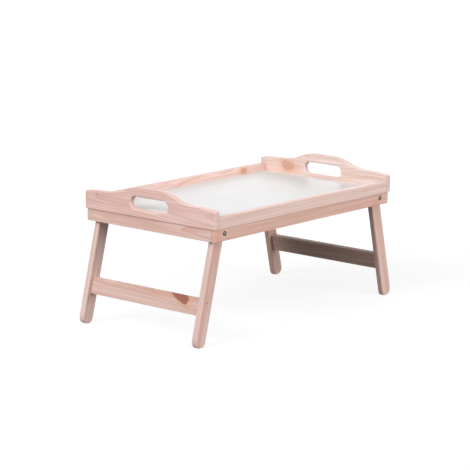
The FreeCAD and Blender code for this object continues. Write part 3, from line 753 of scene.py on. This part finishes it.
class BEDTRAY_OT_pivots(Operator):
    """Button-head bolts with their washers and flange nuts"""
    bl_idname = "bed_tray.pivots"
    bl_label = "Pivots"

    HEAD_HEIGHT, HEAD_RADIUS, SHANK_RADIUS, REACH = 0.0027, 0.00475, 0.0025, 0.033
    SOCKET_FLATS, SOCKET_DEPTH, SOCKET_EASE = 0.0040, 0.0018, 0.00015
    DOME_START, DOME_BASE, EASE = 0.0026, 0.0005, 0.0001
    THREAD_START, THREAD_END = 0.0036, 0.0004
    PITCH, THREAD_DEPTH, TIP_RADIUS = 0.0008, 0.0003, 0.0019
    WASHER_RADIUS, WASHER_STOCK, WASHER_EASE = 0.006, 0.001, 0.00015
    NUT_FLATS = 0.0080
    # Height, radius, and whether the hexagon cuts in where its own radius is less.
    NUT_ROWS = ((0.0, 0.0059, False), (0.0001, 0.0060, False), (0.0008, 0.0058, False),
                (0.0012, 0.0050, False), (0.0016, 0.0060, True), (0.0045, 0.0060, True),
                (0.0050, 0.00445, True), (0.0053, 0.0041, True), (0.0055, 0.0036, False),
                (0.0060, 0.0034, False), (0.0060, 0.0028, False), (0.0057, 0.0025, False),
                (0.0, 0.0025, False))
    AROUND = 72
    PLATE_GLOSS = 0.13

    def bolt(self, name, seat):
        """Socket, domed head, shank and thread in one turned skin.

        The dome is a quarter ellipse. On the thread the radius falls by a triangle wave of the
        height over the pitch plus the share of a turn.
        """
        t = full_turn(self.AROUND)
        flat = np.ones_like(t)
        head, wide, shank, tip = self.HEAD_HEIGHT, self.HEAD_RADIUS, self.SHANK_RADIUS, self.REACH
        socket = hexagon_radius(self.SOCKET_FLATS, t)
        floor = [[head - self.SOCKET_DEPTH]]
        bend = np.linspace(0, math.pi / 2, 9)[:, None]
        dome_radius = self.DOME_START + (wide - self.DOME_START) * np.sin(bend)
        dome_height = self.DOME_BASE + (head - self.DOME_BASE) * np.cos(bend)
        climb = np.linspace(tip - self.THREAD_START, tip - self.THREAD_END, 25)[:, None]
        wave = np.abs((climb / self.PITCH + t / (2 * math.pi)) % 1 * 2 - 1)
        thread = shank - self.THREAD_DEPTH * wave
        heights = np.vstack((floor, floor, [[head - self.SOCKET_EASE]], dome_height,
                             [[self.EASE]], [[0]], [[0]],
                             [[self.THREAD_START + self.EASE - tip]], -climb, [[-tip]], [[-tip]]))
        radii = np.vstack((0 * flat, socket, socket, dome_radius * flat, wide * flat,
                           (wide - self.EASE) * flat, shank * flat, shank * flat, thread,
                           self.TIP_RADIUS * flat, 0 * flat))
        return turned(name, seat, (heights, radii))

    def nut(self, name, seat):
        """Flange and hexagon in one ring: above the flange a radius is the lesser of the
        hexagon's and that of a cone, which bevels its corners."""
        corner = hexagon_radius(self.NUT_FLATS, full_turn(self.AROUND))
        levels, widest, cut = (np.array(row)[:, None] for row in zip(*self.NUT_ROWS))
        radii = np.where(cut, np.minimum(corner, widest), widest)
        return turned(name, seat, (levels, radii), ring=True)

    def execute(self, context):
        _, finish = settings()
        # Its dark tone is a painted reflection, shared by the bolts, washers and nuts.
        nickel_darkened_reflection = plated("nickel_plate_painted_reflection", tuple(finish.nickel_darkened_reflection), self.PLATE_GLOSS)
        for side, _ in SIDES:
            pivot = np.array(HINGES[f"{side}_leg_frame"]["pos_m"])
            for face, face_sign in FACES:
                corner = f"{side}_{face}"
                out = (0, face_sign, 0)
                inner, outer = sorted(abs(end.y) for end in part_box(f"apron_rail_{face}"))

                def on_axis(reach):
                    return pivot[0], face_sign * reach, pivot[2]

                bolt = self.bolt(f"bolt_{corner}", Seat(on_axis(outer), out, (0, 0, 1)))
                dress(bolt, nickel_darkened_reflection, "tray", "nickel_hardware", f"pivot_bolt_{corner}")
                ring = circle(self.WASHER_RADIUS)
                hole = ring * self.SHANK_RADIUS / self.WASHER_RADIUS
                seat = Seat(on_axis(inner - self.WASHER_STOCK / 2), (1, 0, 0), (0, 0, 1))
                washer = pierced(f"washer_{corner}", seat, ring, self.WASHER_EASE, hole,
                                 self.WASHER_EASE, self.WASHER_STOCK, steps=3)
                dress(washer, nickel_darkened_reflection, "tray", "nickel_hardware", f"pivot_washer_{corner}")
                start = max(abs(end.y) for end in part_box(f"pivot_nut_{corner}"))
                nut = self.nut(f"nut_{corner}", Seat(on_axis(start), (0, -face_sign, 0), (0, 0, 1)))
                dress(nut, nickel_darkened_reflection, "tray", "nickel_hardware", f"pivot_nut_{corner}")
        return {"FINISHED"}


class BEDTRAY_OT_fastenings(Operator):
    """Pins of the stretchers and wood screws under the lower frame"""
    bl_idname = "bed_tray.fastenings"
    bl_label = "Fastenings"

    PIN_RADIUS, PIN_DEPTH, PIN_CROWN, PIN_ASIDE, PIN_GLOSS = 0.0014, 0.006, 0.00025, 0.001, 0.42
    SCREW_PROUD, SCREW_GLOSS = 0.0002, 0.34
    RECESS_ARM, RECESS_HALF_WIDTH, RECESS_DEPTH, RECESS_TAPER = 0.0019, 0.00042, 0.0016, 0.6
    # Height and radius outside the recess.
    SCREW_ROWS = ((0.0, 0.0029), (-0.0002, 0.0031), (-0.0022, 0.0018), (-0.012, 0.0016),
                  (-0.012, 0.0))
    SCREW_XS, SCREW_YS = (-0.2, 0.0, 0.2), (-0.095, 0.095)

    def execute(self, context):
        sizes, finish = settings()
        dull = plated("dull_steel", tuple(finish.pin), self.PIN_GLOSS)
        zinc = plated("zinc_plate", tuple(finish.zinc), self.SCREW_GLOSS)
        t = full_turn(48)
        flat = np.ones_like(t)
        bend = np.linspace(0, math.pi / 2, 6)[:, None]
        for side, sign in SIDES:
            body = f"{side}_leg_frame"
            pivot = np.array(HINGES[body]["pos_m"])
            up, across = leg_axes(sign, sizes.splay)
            for face, face_sign in FACES:
                spot = pivot - sizes.pin_reach * np.array(up) - self.PIN_ASIDE * np.array(across)
                spot[1] = face_sign * max(abs(end.y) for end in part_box(f"leg_{side}_{face}"))
                rows = (np.vstack((self.PIN_CROWN * np.cos(bend), [[-self.PIN_DEPTH]] * 2)),
                        np.vstack((self.PIN_RADIUS * np.sin(bend) * flat, self.PIN_RADIUS * flat,
                                   0 * flat)))
                pin = turned(f"pin_{side}_{face}", Seat(spot, (0, face_sign, 0), up), rows)
                dress(pin, dull, body, "nickel_hardware")

        turn_to_arm = np.abs((t + math.pi / 4) % (math.pi / 2) - math.pi / 4)
        slant = np.maximum(np.sin(turn_to_arm), 1e-6)
        cross = np.minimum(self.RECESS_ARM, self.RECESS_HALF_WIDTH / slant)
        levels, plain = (np.array(row)[:, None] for row in zip(*self.SCREW_ROWS))
        heights = np.vstack(([[-self.RECESS_DEPTH]] * 2, [[0.0]], levels)) + self.SCREW_PROUD
        radii = np.vstack((0 * cross, self.RECESS_TAPER * cross, cross, plain * flat))
        rail_y = (APRON_LOW.y + APRON_HIGH.y) / 2
        strip_x = sum(corner.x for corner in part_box("apron_strip_left")) / 2
        spots = [(x, side * rail_y) for x in self.SCREW_XS for side in (-1, 1)]
        spots += [(side * strip_x, y) for side in (-1, 1) for y in self.SCREW_YS]
        for number, (x, y) in enumerate(spots):
            seat = Seat((x, y, APRON_LOW.z), (0, 0, -1), (math.cos(number), math.sin(number), 0))
            screw = turned(f"screw_{number}", seat, (heights, radii))
            dress(screw, zinc, "tray", "nickel_hardware")
        return {"FINISHED"}


class BEDTRAY_OT_stage(Operator):
    """Pale floor, soft lamps, white surroundings and the camera"""
    bl_idname = "bed_tray.stage"
    bl_label = "Stage"

    LAMPS = (("key", (-0.62, -0.60, 0.80), 0.9, 40), ("side", (-1.0, 0.10, 0.60), 2.3, 30),
             ("front", (0.10, -1.0, 0.22), 1.9, 30), ("fill", (1.0, 0.30, 0.35), 0.9, 50))
    AMBIENT = 0.08
    PAPER_SHARE = 0.22
    PAPER_GLOW = 0.84
    FLOOR_BOUNCE = (0.16, 0.155, 0.15, 1)
    FLOOR_RINGS = (0.0, 2.0, 60.0)
    YAW_PITCH_ROLL = (51.02045, -11.60508, 0.930)
    STANDPOINT = (-3.493317, -2.809957, 1.081907)
    FOCAL_PIXELS, PICTURE_PIXELS, SENSOR, CLIP_END = 2136.0, 470, 36, 200

    def seen(self, w):
        """1 where a ray goes straight from the camera, or by a mirror or glass, else 0."""
        path = w.node("LightPath").outputs
        seen = w.math("MAXIMUM", path["Is Camera Ray"], path["Is Glossy Ray"])
        return w.math("MAXIMUM", seen, path["Is Transmission Ray"])

    def floor(self):
        """Flat disc: radius times (cos t, sin t), closed at its middle."""
        t = full_turn(64).T
        reach = np.array([self.FLOOR_RINGS])
        grid = np.stack((reach * np.cos(t), reach * np.sin(t), 0 * reach * t), axis=-1)
        floor = skin("floor", grid, ring=False)
        w = Wiring(bpy.data.materials.new("pale_floor"))
        cloud = w.noise(w.node("TexCoord").outputs["Object"], 3.0, 2.0)
        mottle = w.smooth(cloud, 0.3, 0.7, 0.985, 1.0)
        paper = w.node("BsdfDiffuse", {"Color": w.grey(mottle)})
        glow = w.node("Emission", {"Color": (1, 1, 1, 1), "Strength": self.PAPER_GLOW})
        black = w.node("BsdfDiffuse", {"Color": (0, 0, 0, 1)})
        thin = w.node("MixShader", {0: self.PAPER_SHARE, 1: black.outputs[0], 2: paper.outputs[0]})
        bright = w.node("AddShader", {0: thin.outputs[0], 1: glow.outputs[0]})
        dim = w.node("BsdfDiffuse", {"Color": self.FLOOR_BOUNCE})
        both = w.node("MixShader", {0: self.seen(w), 1: dim.outputs[0], 2: bright.outputs[0]})
        w.node("OutputMaterial", {"Surface": both.outputs[0]})
        floor.data.materials.append(w.owner)

    def lamps(self):
        for name, towards, strength, spread in self.LAMPS:
            lamp = bpy.data.lights.new(name, "SUN")
            lamp.energy = strength
            lamp.angle = math.radians(spread)
            holder = bpy.data.objects.new(name, lamp)
            holder.rotation_euler = Vector(towards).to_track_quat("Z", "Y").to_euler()
            bpy.context.scene.collection.objects.link(holder)

    def surroundings(self):
        world = bpy.data.worlds.new("white_surroundings")
        w = Wiring(world)
        strength = w.math("MULTIPLY_ADD", self.seen(w), 1 - self.AMBIENT, self.AMBIENT)
        light = w.node("Background", {"Color": (1, 1, 1, 1), "Strength": strength})
        w.node("OutputWorld", {"Surface": light.outputs[0]})
        bpy.context.scene.world = world

    def camera(self):
        """Camera of the photograph: it stands at the left front corner and looks a little down."""
        yaw, pitch, roll = (math.radians(a) for a in self.YAW_PITCH_ROLL)
        ahead = Vector((math.sin(yaw) * math.cos(pitch), math.cos(yaw) * math.cos(pitch),
                        math.sin(pitch)))
        level = Vector((math.cos(yaw), -math.sin(yaw), 0))
        above = level.cross(ahead)
        right = math.cos(roll) * level + math.sin(roll) * above
        top = -math.sin(roll) * level + math.cos(roll) * above
        data = bpy.data.cameras.new("camera")
        data.sensor_width = self.SENSOR
        data.lens = self.FOCAL_PIXELS / self.PICTURE_PIXELS * self.SENSOR
        data.clip_end = self.CLIP_END
        camera = bpy.data.objects.new("camera", data)
        camera.matrix_world = Matrix((right, top, -ahead)).transposed().to_4x4()
        camera.location = self.STANDPOINT
        bpy.context.scene.collection.objects.link(camera)
        bpy.context.scene.camera = camera

    def execute(self, context):
        context.scene.view_settings.view_transform = "Standard"
        self.floor()
        self.lamps()
        self.surroundings()
        self.camera()
        return {"FINISHED"}


class BEDTRAY_PT_build(Panel):
    """Buttons that build the table, and its sizes and colours"""
    bl_idname = "BEDTRAY_PT_build"
    bl_label = "Bed Tray Table"
    bl_space_type = "VIEW_3D"
    bl_region_type = "UI"
    bl_category = "Bed Tray"

    def draw(self, context):
        for operator in OPERATORS:
            self.layout.operator(operator.bl_idname)
        for group in (context.scene.bed_tray_sizes, context.scene.bed_tray_finish):
            box = self.layout.box()
            for name in group.__annotations__:
                box.prop(group, name)


OPERATORS = (BEDTRAY_OT_end_boards, BEDTRAY_OT_tray_rails, BEDTRAY_OT_panel, BEDTRAY_OT_lower_frame,
             BEDTRAY_OT_leg_frames, BEDTRAY_OT_pivots, BEDTRAY_OT_fastenings, BEDTRAY_OT_stage)
CLASSES = (BedTraySizes, BedTrayFinish, *OPERATORS, BEDTRAY_PT_build)


def register():
    for made in CLASSES:
        bpy.utils.register_class(made)
    bpy.types.Scene.bed_tray_sizes = PointerProperty(type=BedTraySizes)
    bpy.types.Scene.bed_tray_finish = PointerProperty(type=BedTrayFinish)


def unregister():
    del bpy.types.Scene.bed_tray_finish
    del bpy.types.Scene.bed_tray_sizes
    for made in reversed(CLASSES):
        bpy.utils.unregister_class(made)


def main():
    register()
    bpy.ops.bed_tray.end_boards()
    bpy.ops.bed_tray.tray_rails()
    bpy.ops.bed_tray.panel()
    bpy.ops.bed_tray.lower_frame()
    bpy.ops.bed_tray.leg_frames()
    bpy.ops.bed_tray.pivots()
    bpy.ops.bed_tray.fastenings()
    bpy.ops.bed_tray.stage()


if __name__ == "__main__":
    main()
